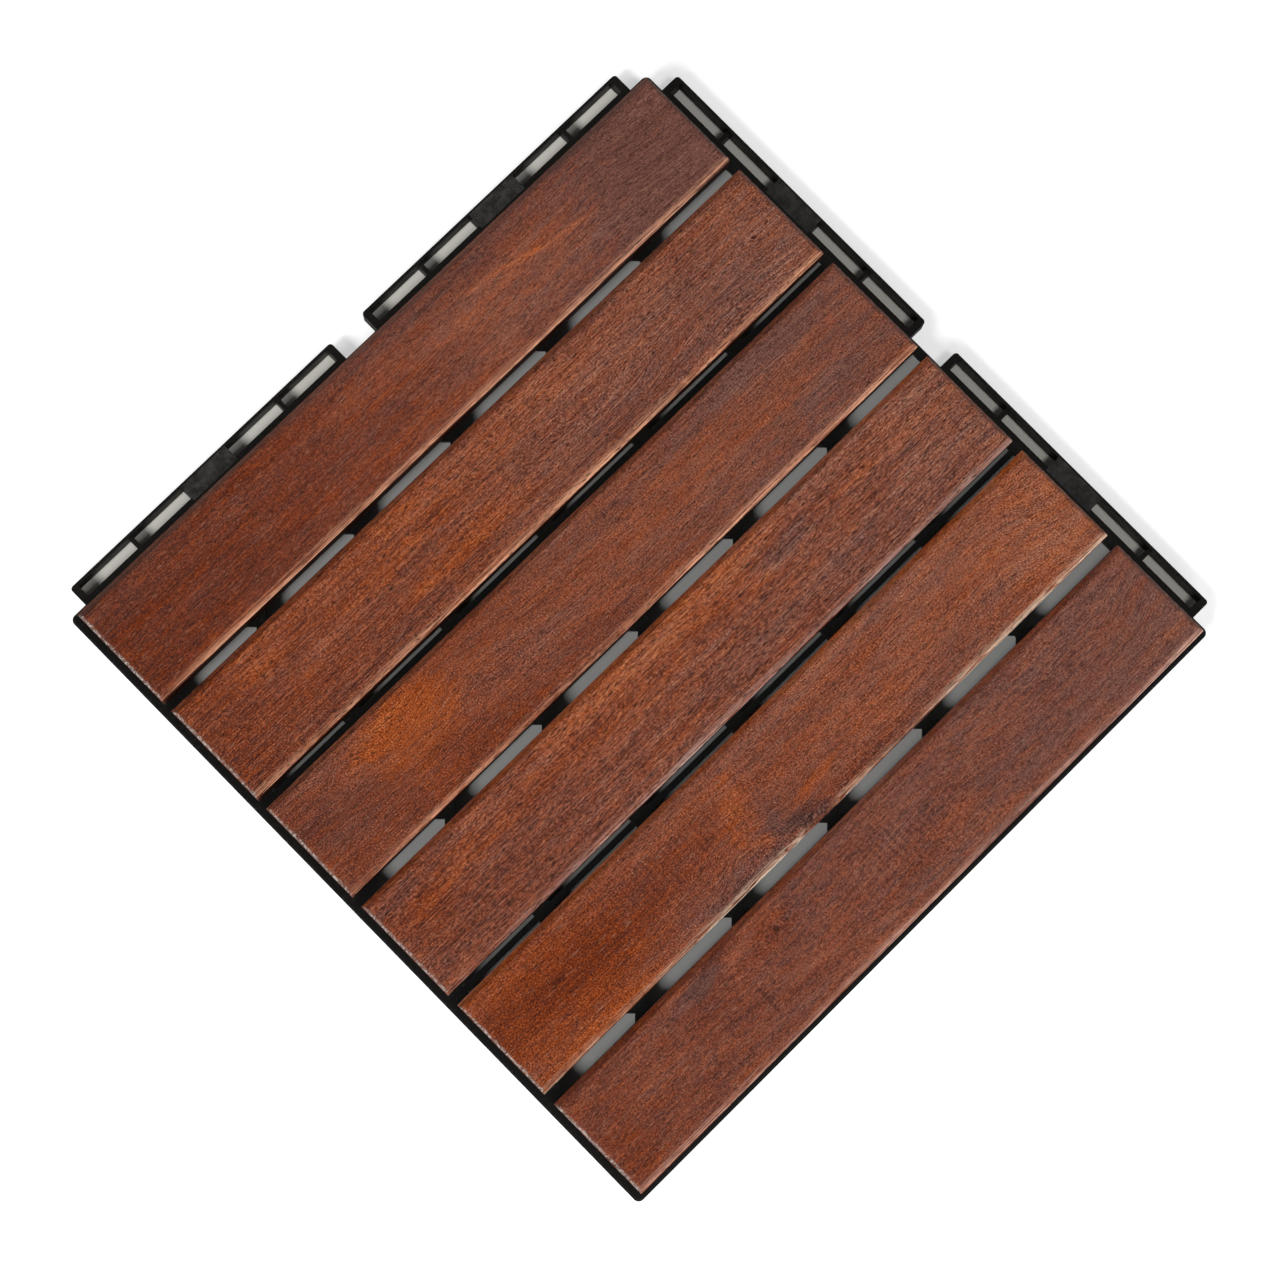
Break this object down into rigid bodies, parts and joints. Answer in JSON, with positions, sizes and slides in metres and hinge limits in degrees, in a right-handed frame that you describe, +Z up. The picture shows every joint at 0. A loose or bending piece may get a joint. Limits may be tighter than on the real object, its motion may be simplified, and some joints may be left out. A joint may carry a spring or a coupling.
{
  "type": "interlocking deck tile",
  "caption": "Square outdoor floor tile: stained wooden slats screwed to a slotted black plastic base, with socket strips along two sides and snap pegs under the other two.",
  "frame": {"origin": "on the ground, under the middle of the base's square body", "axes": "+X along the slats and towards one side with socket strips, +Y across the slats and towards the other side with socket strips, +Z up through the slats; the snap pegs hang under the -X and -Y edges"},
  "size_m": [0.309, 0.309, 0.024],
  "materials": {
    "black_plastic": "satin moulded polypropylene, black",
    "stained_wood": "planed acacia with a red-brown oil stain, matt",
    "steel": "plain stainless steel"
  },
  "bodies": {
    "root": {"base": "black_plastic", "slat_1": "stained_wood", "slat_2": "stained_wood", "slat_3": "stained_wood", "slat_4": "stained_wood", "slat_5": "stained_wood", "slat_6": "stained_wood", "screws": "steel"}
  },
  "joints": []
}
